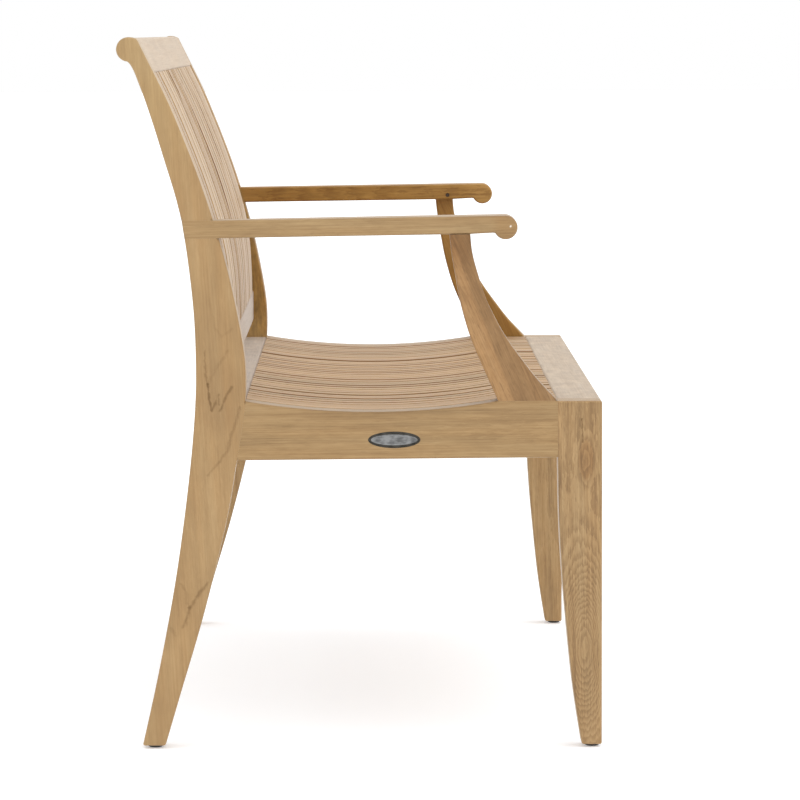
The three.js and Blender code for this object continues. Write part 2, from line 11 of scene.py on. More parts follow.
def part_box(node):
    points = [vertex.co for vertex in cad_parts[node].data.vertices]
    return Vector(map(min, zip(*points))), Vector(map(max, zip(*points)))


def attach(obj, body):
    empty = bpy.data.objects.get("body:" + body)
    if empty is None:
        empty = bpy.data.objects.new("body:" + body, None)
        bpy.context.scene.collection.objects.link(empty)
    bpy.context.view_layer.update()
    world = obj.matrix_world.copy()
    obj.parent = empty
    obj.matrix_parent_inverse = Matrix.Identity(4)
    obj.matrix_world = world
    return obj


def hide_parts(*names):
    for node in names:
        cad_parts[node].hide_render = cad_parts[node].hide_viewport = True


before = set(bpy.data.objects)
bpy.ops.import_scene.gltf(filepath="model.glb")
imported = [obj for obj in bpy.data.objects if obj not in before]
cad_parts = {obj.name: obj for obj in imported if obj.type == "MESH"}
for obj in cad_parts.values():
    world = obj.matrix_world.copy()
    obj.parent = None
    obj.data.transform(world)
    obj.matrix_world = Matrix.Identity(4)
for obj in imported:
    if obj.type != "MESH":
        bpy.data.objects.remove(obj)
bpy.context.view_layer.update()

# Looks of the teak garden bench. Metres; +X runs along the bench, -Y is the front, +Z is up.
# Every CAD node is replaced by a finer piece of the same shape, or by one for each of its slats.

# ---------------------------------------------------------------- sizes

MM = 0.001
FIT = 0.3 * MM  # play between two pieces that meet

ARRIS = 3.0 * MM  # radius of the eased edges of the frame
ARRIS_STEPS = 4
BRACE_ARRIS = 1.5 * MM
BRACE_ARRIS_STEPS = 2
ARRIS_ANGLE = math.radians(35)  # an outward edge sharper than this is eased
SHARP_ANGLE = math.radians(38)  # faces that meet at more than this keep a crisp edge between them
CONTACT = 0.8 * MM  # an edge this close to another piece belongs to a joint and stays crisp
JOINT_STEP = 12 * MM  # longest edge of a piece when its joints are closed
JOINT_HALVINGS = 5  # how often the long edges are halved to get there, at most
JOINT_SEARCH = 7  # steps of the search for the place where an edge enters a joint
JOINT_CLOSE = 0.42  # each of two joined pieces takes up this share of the play between them
STRAIGHT_ON = math.radians(140)  # two edges that go on in one line meet at more than this
FOLD_ANGLE = math.radians(125)  # faces that meet at more than this are folded over
FOLD_AREA = 6 * MM**2  # a folded face smaller than this is closed
MOST_FOLDS = 24  # folds that are closed in one piece, at most
WELD = 0.01 * MM  # corners closer than this are one corner
SAME_PLANE = math.radians(0.2)  # triangles that meet at less than this become one face

SLAT_COUNT = 36
SLAT_SEED = 2024
SLATS_IN_GROUP = 3  # slats that share one CAD node
SLAT_WIDTH = 25 * MM
SLAT_EASE = 1.4 * MM
SEAT_SLAT_THICK = 14 * MM
BACK_SLAT_THICK = 12 * MM
TONGUE_THICK = 6 * MM
TONGUE_DEPTH = 9.7 * MM
TONGUE_SHOULDER = 1.0 * MM  # the tongue is this much narrower than its slat on each side
SPACER_LAP = 0.7 * MM  # a spacer reaches this far past the sides of the slats beside it
SEAT_TONGUE_RISE = 5 * MM  # middle of the tongue above the underside of a seat slat

SEAT_EDGE = 0.449
DISH_FRONT = -0.176
DISH_MIDDLE = -0.016
DISH_RADIUS = 0.960

SLAT_TILT = 2.5  # degrees: how unevenly very loose slats lie
SLAT_RISE = 0.9 * MM
SLAT_SHIFT = 0.8 * MM
SLAT_LOOSE = {"seat": 0.28, "back": 0.2}  # the share of that unevenness that these slats show
SLAT_WOOD_SHARES = (6, 2, 2)  # how common the three woods are
SPACER_PLACES = {"seat": ("front", "rear"), "back": ("lower", "upper")}
SLAT_TONE = {"seat": 0.14, "back": 0.10}  # how much the slats differ in tone
SLAT_SIDE_SHADE = {"seat": 0.60, "back": 0.22}  # painted shade in the gaps: how much deeper in tone a slat's sides are painted than its face
# Slats of the back that stand proud of the others, or sit deeper towards the left stile.
SLAT_LIFT = {
    ("back", 16): 0.7 * MM,
    ("back", 33): -0.5 * MM,
    ("back", 34): -1.0 * MM,
    ("back", 35): -1.5 * MM,
}
GAP_SHIFT = {("back", 16): 0.8 * MM}  # a slat that has moved aside and left a wider gap
# Slats that bow a little forwards and show a side there: height of the bow's middle, and its reach.
BOWED = {
    ("back", 11): (0.855, 0.022),
    ("back", 16): (0.740, 0.070),
    ("back", 25): (0.780, 0.060),
}
BOW = 1.1 * MM
BOWED_SIDE_SHADE = 3.0  # the painted shade on the side that such a slat shows is this many times deeper

# Front faces of the back slats in the side view, (Y, Z), from the lower rail to the head rail's lower face.
BACK_LINE = (
    (0.168, 0.5223),
    (0.169, 0.560),
    (0.172, 0.603),
    (0.181, 0.656),
    (0.204, 0.731),
    (0.238, 0.818),
    (0.26227, 0.86973),
)


def centre(node):
    """The middle of a CAD node's box."""
    low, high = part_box(node)
    return (low + high) / 2


# ---------------------------------------------------------------- timber shader

# Linear colours of teak: (pale, middle, deep).
HONEY = ((0.500, 0.335, 0.158), (0.352, 0.220, 0.092), (0.205, 0.115, 0.042))
TAWNY = ((0.455, 0.298, 0.138), (0.318, 0.194, 0.080), (0.180, 0.099, 0.036))
UMBER = ((0.345, 0.205, 0.090), (0.250, 0.142, 0.058), (0.150, 0.078, 0.030))
SANDY = ((0.520, 0.325, 0.140), (0.390, 0.225, 0.088), (0.230, 0.120, 0.042))
STRAW = ((0.530, 0.352, 0.170), (0.400, 0.248, 0.108), (0.236, 0.130, 0.050))
FAWN = ((0.500, 0.318, 0.150), (0.372, 0.222, 0.096), (0.216, 0.116, 0.044))
RUSSET = ((0.480, 0.288, 0.128), (0.356, 0.199, 0.080), (0.208, 0.106, 0.038))
OLIVE = ((0.482, 0.312, 0.132), (0.358, 0.216, 0.082), (0.208, 0.116, 0.040))
ASHEN = ((0.540, 0.410, 0.275), (0.420, 0.305, 0.195), (0.290, 0.195, 0.115))
GREYISH = ((0.440, 0.345, 0.270), (0.340, 0.258, 0.200), (0.230, 0.165, 0.125))
# Painted shade: the pins' near-black colour stands for the shade of the shallow hole they sit in.
PIN_IN_SHADE = ((0.120, 0.070, 0.035), (0.070, 0.040, 0.020), (0.040, 0.022, 0.012))
STAIN = (0.130, 0.060, 0.008)
PALE_DOT_COLOUR = (0.800, 0.720, 0.600)


class Nodes:
    """Short calls for building a node tree."""

    def __init__(self, tree):
        self.tree = tree

    def add(self, kind, **settings):
        node = self.tree.nodes.new(kind)
        for name, value in settings.items():
            setattr(node, name, value)
        return node

    def plug(self, socket, value):
        """Links an output to a socket, or sets the socket's constant."""
        if isinstance(value, bpy.types.NodeSocket):
            self.tree.links.new(value, socket)
        elif value is not None:
            socket.default_value = value

    def math(self, operation, a, b=None, c=None, clamp=False):
        node = self.add("ShaderNodeMath", operation=operation, use_clamp=clamp)
        for socket, value in zip(node.inputs, (a, b, c)):
            self.plug(socket, value)
        return node.outputs[0]

    def vector(self, operation, a, b=None):
        node = self.add("ShaderNodeVectorMath", operation=operation)
        self.plug(node.inputs[0], a)
        self.plug(node.inputs[1], b)
        return node.outputs["Value" if operation in ("LENGTH", "DISTANCE", "DOT_PRODUCT") else "Vector"]

    def noise(self, place, scale, detail=2.0, rough=0.5):
        """Noise of 0 to 1 over a place in metres; scale gives the features per metre on each axis."""
        node = self.add("ShaderNodeTexNoise")
        self.plug(node.inputs["Vector"], self.vector("MULTIPLY", place, scale))
        node.inputs["Scale"].default_value = 1.0
        node.inputs["Detail"].default_value = detail
        node.inputs["Roughness"].default_value = rough
        return node.outputs["Fac"]

    def ramp(self, value, low, high, smooth=True):
        """0 at low, 1 at high."""
        node = self.add("ShaderNodeMapRange", interpolation_type="SMOOTHSTEP" if smooth else "LINEAR")
        self.plug(node.inputs["Value"], value)
        node.inputs["From Min"].default_value = low
        node.inputs["From Max"].default_value = high
        return node.outputs["Result"]

    def spread(self, noise):
        """Noise stretched to fill 0 to 1 more evenly."""
        return self.ramp(noise, 0.28, 0.72, smooth=False)

    def mix(self, amount, a, b, blend="MIX"):
        """Colour a at 0, colour b at 1, or b blended into a in another way."""
        node = self.add("ShaderNodeMix", data_type="RGBA", blend_type=blend)
        self.plug(node.inputs["Factor"], amount)
        for socket, value in ((node.inputs[6], a), (node.inputs[7], b)):
            self.plug(socket, (*value, 1.0) if isinstance(value, tuple) else value)
        return node.outputs[2]


def new_material(name):
    """A material with a Principled shader, and short calls for its tree."""
    material = bpy.data.materials.new(name)
    material.use_nodes = True
    tree = material.node_tree
    tree.nodes.clear()
    n = Nodes(tree)
    shader = n.add("ShaderNodeBsdfPrincipled")
    output = n.add("ShaderNodeOutputMaterial")
    tree.links.new(shader.outputs["BSDF"], output.inputs["Surface"])
    return material, n, shader


def oval(n, side_view, y, z, half_width, half_height):
    """A soft spot of the side view: 1 at its middle, 0.37 at its edge."""
    away = n.vector("SUBTRACT", side_view, (0.0, y, z))
    away = n.vector("LENGTH", n.vector("MULTIPLY", away, (0.0, 1 / half_width, 1 / half_height)))
    return n.math("EXPONENT", n.math("MULTIPLY", n.math("MULTIPLY", away, away), -1.0))


def growth_rings(n, grain, side_view, gap, bulge, swell, knots):
    """Contours of a gently swelling growth layer: straight lines, arches and ovals, gap apart in depth."""
    depth = n.add("ShaderNodeSeparateXYZ")
    n.plug(depth.inputs[0], grain)
    height = n.math("MULTIPLY_ADD", n.noise(grain, swell, 1.6, 0.45), bulge, depth.outputs["Z"])
    height = n.math("MULTIPLY_ADD", n.noise(grain, (45.0, 230.0, 230.0), 3.0, 0.65), 1.9 * gap, height)
    for *place, rise in knots:
        height = n.math("MULTIPLY_ADD", oval(n, side_view, *place), rise, height)
    phase = n.math("FRACT", n.math("DIVIDE", height, gap))
    return n.math("MULTIPLY", n.ramp(phase, 0.10, 0.80), n.ramp(phase, 1.0, 0.84))


def line_mask(n, place, start, end, half, uneven):
    """1 on a line of the side view, 0 beyond half from it, or nearer where it is uneven."""
    run = Vector((0.0, end[0] - start[0], end[1] - start[1]))
    from_start = n.vector("SUBTRACT", place, (0.0, *start))
    along = n.math("DIVIDE", n.vector("DOT_PRODUCT", from_start, tuple(run)), run.length_squared, clamp=True)
    foot = n.add("ShaderNodeVectorMath", operation="SCALE")
    foot.inputs[0].default_value = tuple(run)
    n.plug(foot.inputs["Scale"], along)
    away = n.vector("LENGTH", n.vector("SUBTRACT", from_start, foot.outputs[0]))
    away = n.math("MULTIPLY_ADD", uneven, 0.40 * half, away)
    return n.ramp(away, half, 0.1 * half)


def streaked(n, grain, side_view, colour, streaks, paint):
    """Broken, slightly wandering lines: each streak is (strength, half width, its points)."""
    drift = n.noise(side_view, (0.0, 70.0, 70.0), 4.0, 0.6)
    wander = n.add("ShaderNodeCombineXYZ")
    n.plug(wander.inputs["Y"], n.math("MULTIPLY_ADD", drift, 6 * MM, -3 * MM))
    place = n.vector("ADD", side_view, wander.outputs[0])
    broken = n.ramp(n.noise(grain, (60.0, 300.0, 300.0), 3.0, 0.7), 0.12, 0.50)
    uneven = n.ramp(n.noise(side_view, (0.0, 90.0, 90.0), 2.0, 0.6), 0.35, 0.65)
    for strength, half, points in streaks:
        masks = [line_mask(n, place, a, b, half, uneven) for a, b in zip(points, points[1:])]
        mask = masks[0]
        for other in masks[1:]:
            mask = n.math("MAXIMUM", mask, other)
        mask = n.math("MULTIPLY", n.math("MULTIPLY", mask, broken), strength)
        colour = n.mix(mask, colour, paint)
    return colour


def toned(n, value, tones):
    """The colour of timber: pale at 0, middle at a half, deep at 1."""
    pale, middle, deep = tones
    colour = n.mix(n.ramp(value, 0.0, 0.5, False), pale, middle)
    return n.mix(n.ramp(value, 0.5, 1.0, False), colour, deep)


def bumped(n, shader, relief, strength, depth):
    """Turns a relief into a bumpy surface."""
    bump = n.add("ShaderNodeBump")
    bump.inputs["Strength"].default_value = strength
    bump.inputs["Distance"].default_value = depth
    n.plug(bump.inputs["Height"], relief)
    n.plug(shader.inputs["Normal"], bump.outputs["Normal"])


def teak(name, tones, rings=0.12, gap=3.4 * MM, bulge=10 * MM, swell=(2.0, 12.0, 12.0), knots=(), bands=0.18,
         fine=0.42, clouds=0.20, mottle=0.0, pores=0.22, streaks=(), streak_paint=STAIN, tints=(), gloss=0.5,
         sheen=0.40, sheen_tint=(1.0, 0.93, 0.82)):
    """Timber. Its mesh says where each point lies in its board: x along the grain, y and z across it.

    rings, bands, fine, clouds, mottle and pores are contrasts. The growth rings lie gap apart, and they
    swell by up to bulge, as often as swell says. Each tint recolours a part of the board.
    """
    material, n, shader = new_material(name)
    grain = n.add("ShaderNodeAttribute", attribute_name="grain").outputs["Vector"]
    tone = n.add("ShaderNodeAttribute", attribute_name="tone").outputs["Fac"]
    place = n.add("ShaderNodeTexCoord").outputs["Object"]
    side_view = n.vector("MULTIPLY", place, (0.0, 1.0, 1.0))

    ring = growth_rings(n, grain, side_view, gap, bulge, swell, knots)
    band = n.spread(n.noise(grain, (3.0, 115.0, 115.0), 2.0, 0.5))
    fibre = n.spread(n.noise(grain, (10.0, 470.0, 470.0), 3.0, 0.7))
    cloud = n.spread(n.noise(grain, (11.0, 30.0, 30.0), 3.0, 0.6))
    patch = n.spread(n.noise(place, (22.0, 60.0, 60.0), 3.0, 0.65))
    pore = n.ramp(n.noise(grain, (75.0, 620.0, 620.0), 1.5, 0.6), 0.57, 0.70)
    warmth = n.spread(n.noise(grain, (5.0, 60.0, 60.0), 2.0, 0.5))

    value = n.math("ADD", 0.5, tone)
    for field, contrast in ((ring, rings), (band, bands), (fibre, fine), (cloud, clouds), (patch, mottle)):
        if contrast:
            value = n.math("MULTIPLY_ADD", n.math("SUBTRACT", field, 0.5), contrast, value)
    colour = toned(n, value, tones)
    colour = n.mix(n.math("MULTIPLY", warmth, 0.6), colour, (1.05, 0.96, 0.84), "MULTIPLY")
    for tint in tints:
        colour = tint(n, place, colour)
    colour = n.mix(n.math("MULTIPLY", pore, pores), colour, tones[-1])
    if streaks:
        colour = streaked(n, grain, side_view, colour, streaks, streak_paint)
    n.plug(shader.inputs["Base Color"], colour)

    n.plug(shader.inputs["Roughness"], n.math("MULTIPLY_ADD", fibre, 0.14, 0.43))
    relief = n.math("SUBTRACT", n.math("MULTIPLY", fibre, 0.5), n.math("MULTIPLY", pore, 0.6))
    bumped(n, shader, relief, 0.35, 0.2 * MM)
    shader.inputs["Specular IOR Level"].default_value = gloss
    shader.inputs["Sheen Weight"].default_value = sheen
    shader.inputs["Sheen Roughness"].default_value = 0.35
    shader.inputs["Sheen Tint"].default_value = (*sheen_tint, 1.0)
    return material


UPWARDS = (0.0, 0.0, 1.0)
FORWARDS = (0.0, -1.0, 0.0)
LEFTWARDS = (1.0, 0.0, 0.0)


def wash(paint, direction, start, end):
    """A tint that comes in from start to end along a direction."""
    def tint(n, place, colour):
        reach = n.vector("DOT_PRODUCT", place, direction)
        return n.mix(n.ramp(reach, start, end), colour, paint, "MULTIPLY")
    return tint


def all_over(paint):
    """A tint of a whole board."""
    def tint(n, place, colour):
        return n.mix(1.0, colour, paint, "MULTIPLY")
    return tint


def spot(paint, *place):
    """A tint of a soft oval: (Y, Z, half width, half height)."""
    def tint(n, point, colour):
        return n.mix(n.ramp(oval(n, point, *place), 0.25, 0.55), colour, paint, "MULTIPLY")
    return tint


def sapwood(paint, start, end, soft):
    """A tint for what lies behind a line of the side view, with a wavering edge."""
    run = Vector((0.0, end[0] - start[0], end[1] - start[1])).normalized()
    behind = (0.0, -run.z, run.y)

    def tint(n, place, colour):
        out = n.vector("DOT_PRODUCT", n.vector("SUBTRACT", place, (0.0, *start)), behind)
        out = n.math("MULTIPLY_ADD", n.noise(place, (0.0, 60.0, 25.0), 3.0, 0.6), 2 * soft, out)
        return n.mix(n.ramp(out, 0.4 * soft, 1.8 * soft), colour, paint, "MULTIPLY")
    return tint


def painted_inner_shade(paint, face, soft, above=0.0, patchy=0.0):
    """A tint of painted shade for the inner side of the left end frame, deeper and more golden.

    face is where the inner faces lie, and soft how far the tint reaches in from there.
    """
    def tint(n, place, colour):
        inside = n.ramp(n.vector("DOT_PRODUCT", place, LEFTWARDS), face + soft, face)
        high = n.ramp(n.vector("DOT_PRODUCT", place, UPWARDS), above - 20 * MM, above + 20 * MM)
        mask = n.math("MULTIPLY", inside, high)
        patch = n.spread(n.noise(place, (120.0, 120.0, 50.0), 3.0, 0.7))
        light = n.math("MULTIPLY_ADD", patch, patchy, 1.0 - patchy / 2)
        shade = n.add("ShaderNodeVectorMath", operation="SCALE")
        shade.inputs[0].default_value = paint
        n.plug(shade.inputs["Scale"], light)
        return n.mix(mask, colour, shade.outputs[0], "MULTIPLY")
    return tint


# ---------------------------------------------------------------- other materials

def nylon():
    """Black moulded nylon, a little scuffed."""
    material, n, shader = new_material("black_nylon")
    place = n.add("ShaderNodeTexCoord").outputs["Object"]
    grit = n.noise(place, (2600.0, 2600.0, 2600.0), 2.0)
    scuff = n.ramp(n.noise(place, (240.0, 240.0, 240.0), 3.0), 0.45, 0.75)
    n.plug(shader.inputs["Base Color"], n.mix(scuff, (0.010, 0.010, 0.012), (0.035, 0.034, 0.034)))
    n.plug(shader.inputs["Roughness"], n.math("MULTIPLY_ADD", scuff, 0.25, 0.42))
    bumped(n, shader, grit, 0.4, 0.1 * MM)
    return material


def pewter(name, pale, dark, rough):
    """Brushed metal with a patchy patina."""
    material, n, shader = new_material(name)
    place = n.add("ShaderNodeTexCoord").outputs["Object"]
    brushed = n.noise(place, (300.0, 160.0, 2400.0), 3.0, 0.6)
    patina = n.ramp(n.noise(place, (90.0, 70.0, 160.0), 3.0, 0.6), 0.35, 0.7)
    n.plug(shader.inputs["Base Color"], n.mix(patina, pale, dark))
    shader.inputs["Metallic"].default_value = 1.0
    n.plug(shader.inputs["Roughness"], n.math("MULTIPLY_ADD", brushed, 0.25, rough))
    bumped(n, shader, brushed, 0.3, 0.1 * MM)
    return material


def pale_floor():
    """A lit white studio floor: it glows a little, so that only faint shadows lie on it."""
    material, _, shader = new_material("pale_floor")
    shader.inputs["Base Color"].default_value = (0.84, 0.86, 0.89, 1.0)
    shader.inputs["Roughness"].default_value = 0.9
    shader.inputs["Specular IOR Level"].default_value = 0.2
    shader.inputs["Emission Color"].default_value = (1.0, 1.0, 1.0, 1.0)
    shader.inputs["Emission Strength"].default_value = 0.30
    return material


# ---------------------------------------------------------------- pieces

def piece_from(bm, name, material, slot, *nodes):
    """Turns a bmesh into a shown piece that stands for CAD nodes."""
    mesh = bpy.data.meshes.new(name)
    bm.to_mesh(mesh)
    bm.free()
    for face in mesh.polygons:
        face.use_smooth = True
    mesh.set_sharp_from_angle(angle=SHARP_ANGLE)
    mesh.materials.append(material)
    piece = bpy.data.objects.new(name, mesh)
    bpy.context.scene.collection.objects.link(piece)
    shading = piece.modifiers.new("flat faces stay flat", "WEIGHTED_NORMAL")
    shading.keep_sharp = True
    shading.weight = 100
    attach(piece, "root")
    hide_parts(*nodes)
    return piece


def set_grain(piece, along, across, shift=(0.0, 0.0, 0.0), tone=0.0):
    """Writes where each point lies in its board, along the grain, across it and through it, and its tone."""
    along = Vector(along).normalized()
    through = along.cross(Vector(across)).normalized()
    across = through.cross(along).normalized()
    axes = Matrix((along, across, through))
    mesh = piece.data
    grain = mesh.attributes.new("grain", "FLOAT_VECTOR", "POINT")
    places = [value for v in mesh.vertices for value in axes @ v.co + Vector(shift)]
    grain.data.foreach_set("vector", places)
    shade = mesh.attributes.new("tone", "FLOAT", "POINT")
    shade.data.foreach_set("value", tone if isinstance(tone, list) else [tone] * len(mesh.vertices))


def cad_bmesh(node):
    """A node's mesh with its triangles joined into whole flat faces."""
    bm = bmesh.new()
    bm.from_mesh(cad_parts[node].data)
    bmesh.ops.remove_doubles(bm, verts=bm.verts, dist=WELD)
    bmesh.ops.dissolve_limit(bm, angle_limit=SAME_PLANE, verts=bm.verts, edges=bm.edges)
    bm.normal_update()
    return bm


def tree_of(node):
    """A search tree of a node's faces."""
    bm = bmesh.new()
    bm.from_mesh(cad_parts[node].data)
    tree = BVHTree.FromBMesh(bm)
    bm.free()
    return tree


# Where the faces of every CAD piece lie.
TREES = {node: tree_of(node) for node in sorted(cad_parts)}


def neighbour(node, point):
    """The nearest point of another piece, where that is within CONTACT, or None."""
    found = [tree.find_nearest(point, CONTACT) for other, tree in TREES.items() if other != node]
    near = [(distance, place) for place, _, _, distance in found if place is not None]
    return min(near, key=lambda pair: pair[0])[1] if near else None


def close_joints(bm, node):
    """Draws a joint's faces together from the play that the CAD leaves to a hairline."""
    for _ in range(JOINT_HALVINGS):
        long = [edge for edge in bm.edges if edge.calc_length() > JOINT_STEP]
        if not long:
            break
        bmesh.ops.subdivide_edges(bm, edges=long, cuts=1)
    for v in bm.verts:
        place = neighbour(node, v.co)
        if place is not None:
            v.co += (place - v.co) * JOINT_CLOSE


def is_arris(edge):
    """True on an outward edge that is sharp enough to be eased."""
    if len(edge.link_faces) != 2 or not edge.is_convex:
        return False
    return edge.calc_face_angle() >= ARRIS_ANGLE


def joint_ends(node, a, b, shortest):
    """Points of an edge where it enters or leaves a joint, unless a stretch between them is too short."""
    count = max(2, math.ceil((b - a).length / JOINT_STEP))
    stops = [0.0]
    touching = neighbour(node, a) is not None
    for i in range(count):
        low, high = i / count, (i + 1) / count
        if (neighbour(node, a.lerp(b, high)) is not None) == touching:
            continue
        for _ in range(JOINT_SEARCH):
            middle = (low + high) / 2
            if (neighbour(node, a.lerp(b, middle)) is not None) == touching:
                low = middle
            else:
                high = middle
        stops.append(low)
        touching = not touching
    stops.append(1.0)
    if min(end - start for start, end in zip(stops, stops[1:])) * (b - a).length < shortest:
        return []
    return [a.lerp(b, stop) for stop in stops[1:-1]]


def off_edge(point, edge):
    """Distance from a point to an edge."""
    a, b = (v.co for v in edge.verts)
    _, share = intersect_point_line(point, a, b)
    return (a.lerp(b, min(1.0, max(0.0, share))) - point).length


def cut_across(bm, faces, point, along):
    """Cuts faces through by the plane that stands across a direction at a point."""
    geometry = set(faces)
    for face in faces:
        geometry.update(face.edges)
        geometry.update(face.verts)
    bmesh.ops.bisect_plane(bm, geom=list(geometry), dist=WELD / 10, plane_co=point, plane_no=along)


def in_joint(edge, node):
    """True where the middle of an edge lies on another piece."""
    return neighbour(node, (edge.verts[0].co + edge.verts[1].co) / 2) is not None


def cut_at_joints(bm, node, shortest):
    """Cuts faces across where their edge enters a joint, so that the rounding can stop there."""
    cuts = []
    for edge in bm.edges:
        if is_arris(edge):
            a, b = (v.co.copy() for v in edge.verts)
            cuts += [(point, (b - a).normalized()) for point in joint_ends(node, a, b, shortest)]
    for point, along in cuts:
        edge = min(bm.edges, key=lambda e: off_edge(point, e))
        cut_across(bm, edge.link_faces, point, along)
    for v in list(bm.verts):
        arrises = [edge for edge in v.link_edges if is_arris(edge)]
        closed = [edge for edge in arrises if in_joint(edge, node)]
        for edge in closed:
            along = edge.other_vert(v).co - v.co
            for other in arrises:
                ahead = other.other_vert(v).co - v.co
                if other in closed or along.angle(ahead) < STRAIGHT_ON:
                    continue
                shared = [face for face in edge.link_faces if face in other.link_faces]
                cut_across(bm, shared, v.co, along.normalized())


def mend_folds(bm):
    """Closes the tiny faces that a rounding folds over where it runs out."""
    for _ in range(MOST_FOLDS):
        bm.normal_update()
        folded = [edge for edge in bm.edges if edge.calc_face_angle(0.0) > FOLD_ANGLE]
        faces = [min(edge.link_faces, key=lambda face: face.calc_area()) for edge in folded]
        tiny = [face for face in faces if face.calc_area() < FOLD_AREA]
        if not tiny:
            return
        bmesh.ops.collapse(bm, edges=list(tiny[0].edges))


def ease_edges(bm, node, radius, steps):
    """Rounds the outward edges that belong to no joint."""
    cut_at_joints(bm, node, 3 * radius)
    free = [edge for edge in bm.edges if is_arris(edge) and not in_joint(edge, node)]
    bmesh.ops.bevel(bm, geom=free, offset=radius, offset_type="OFFSET", segments=steps, profile=0.5,
                    affect="EDGES", clamp_overlap=False, loop_slide=True)
    mend_folds(bm)


def eased(node, material, slot, radius=ARRIS, steps=ARRIS_STEPS):
    """A piece with the shape of its CAD node, its arrises rounded and its joints drawn close."""
    bm = cad_bmesh(node)
    ease_edges(bm, node, radius, steps)
    close_joints(bm, node)
    return piece_from(bm, f"{node}_piece", material, slot, node)


# ---------------------------------------------------------------- end frames

LEFT, RIGHT = "left", "right"  # as one sits on the bench; the right end is at -X and carries the plate
BOARD_SEEDS = {RIGHT: 10, LEFT: 12}

# Which way the grain runs in each board of an end frame.
GRAIN_RUNS = {
    "rear_leg": (0.0, 0.06, 1.0),
    "front_leg": (0.0, 0.02, 1.0),
    "side_apron": (0.0, 1.0, -0.01),
    "arm": (0.0, 1.0, -0.02),
    "arm_post": (0.0, -0.45, -1.0),
}


def end_frame(hand, wood):
    """The legs, apron, arm and post of one end, each cut from its own board."""
    chance = random.Random(BOARD_SEEDS[hand])
    for part, along in GRAIN_RUNS.items():
        node = f"{part}_{hand}"
        slot = "teak_post" if part == "arm_post" else "teak_frame"
        piece = eased(node, wood[part], slot)
        across = (0.0, 1.0, 0.0) if abs(along[2]) > 0.9 else (0.0, 0.0, 1.0)
        shift = [chance.uniform(-3, 3) for _ in range(3)]
        set_grain(piece, along, across, shift)


def turned(profile, sides):
    """A solid turned about the X axis from (distance along X, radius) pairs."""
    bm = bmesh.new()
    loops = []
    for x, radius in profile:
        if radius == 0.0:
            loops.append([bm.verts.new((x, 0.0, 0.0))])
            continue
        angles = [2 * math.pi * i / sides for i in range(sides)]
        loops.append([bm.verts.new((x, radius * math.cos(a), radius * math.sin(a))) for a in angles])
    for a, b in zip(loops, loops[1:]):
        for i in range(sides):
            corners = [a[i % len(a)], a[(i + 1) % len(a)], b[(i + 1) % len(b)], b[i % len(b)]]
            bm.faces.new(list(dict.fromkeys(corners)))
    return bm


def arm_pin(hand, wood):
    """A turned pin, set a little below the inner face of the arm."""
    node = f"arm_pin_{hand}"
    low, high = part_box(node)
    middle = centre(node)
    side = -1 if hand == RIGHT else 1
    radius = (high.z - low.z) / 2
    length = high.x - low.x
    inner = low.x if side > 0 else high.x
    sunk = 1.0 * MM  # how far the end lies below the arm's face
    ease = 0.6 * MM
    profile = ((sunk, 0.0), (sunk, radius - ease), (sunk + ease, radius), (length, radius), (length, 0.0))
    bm = turned(profile, 24)
    axes = Matrix(((side, 0, 0), (0, 1, 0), (0, 0, 1))).to_4x4()
    bmesh.ops.transform(bm, matrix=Matrix.Translation((inner, middle.y, middle.z)) @ axes, verts=bm.verts)
    bmesh.ops.recalc_face_normals(bm, faces=bm.faces)
    piece = piece_from(bm, f"{node}_piece", wood, "teak_post", node)
    set_grain(piece, (0, 0, 1), (0, 1, 0), (0.3, 0.7, side), 0.3)


def foot_glide(node, black):
    """A moulded glide: a domed button with a stem."""
    low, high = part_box(node)
    middle = centre(node)
    radius = (high.y - low.y) / 2
    stem = 2.0 * MM  # radius
    top = 3.7 * MM  # height of the button
    profile = (
        (0.0, 0.0),
        (0.0, radius - 2.2 * MM),
        (0.25 * MM, radius - 1.2 * MM),
        (0.9 * MM, radius - 0.35 * MM),
        (1.8 * MM, radius),
        (top - 0.5 * MM, radius),
        (top, radius - 0.5 * MM),
        (top, stem),
        (high.z - 1.0 * MM, stem),
        (high.z, 1.2 * MM),
        (high.z, 0.0),
    )
    bm = turned(profile, 40)
    upright = Matrix(((0, 1, 0), (0, 0, 1), (1, 0, 0))).to_4x4()
    bmesh.ops.transform(bm, matrix=Matrix.Translation((middle.x, middle.y, low.z)) @ upright, verts=bm.verts)
    bmesh.ops.recalc_face_normals(bm, faces=bm.faces)
    piece_from(bm, f"{node}_piece", black, "glide", node)


def oval_plate(rim_metal, face_metal):
    """The oval plate: a raised dark rim round a plain, slightly domed face."""
    low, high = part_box("badge")
    middle = centre("badge")
    half_y = (high.y - low.y) / 2
    half_z = (high.z - low.z) / 2
    count = 72
    # Each ring of points is (X, how far it lies inside the outline), from the back round to the face.
    rings = (
        (high.x, 0.0),
        (low.x + 0.25 * MM, 0.0),
        (low.x, 0.3 * MM),
        (low.x, 1.1 * MM),
        (low.x + 0.3 * MM, 2.1 * MM),
        (low.x + 0.25 * MM, 3.6 * MM),
        (low.x + 0.1 * MM, 6.0 * MM),
        (low.x + 0.02 * MM, 9.2 * MM),
    )
    rim_strips = 5  # the strips between the first rings are the rim, the others are the face
    bm = bmesh.new()
    loops = []
    for x, inset in rings:
        loop = []
        for i in range(count):
            a = 2 * math.pi * i / count
            y = middle.y + (half_y - inset) * math.cos(a)
            z = middle.z + (half_z - inset) * math.sin(a)
            loop.append(bm.verts.new((x, y, z)))
        loops.append(loop)
    bm.faces.new(loops[0])
    for j, (a, b) in enumerate(zip(loops, loops[1:])):
        for i in range(count):
            k = (i + 1) % count
            face = bm.faces.new((a[i], a[k], b[k], b[i]))
            face.material_index = 0 if j < rim_strips else 1
    bm.faces.new(loops[-1]).material_index = 1
    bmesh.ops.recalc_face_normals(bm, faces=bm.faces)
    piece = piece_from(bm, "badge_piece", rim_metal, "badge_plate", "badge")
    piece.data.materials.append(face_metal)


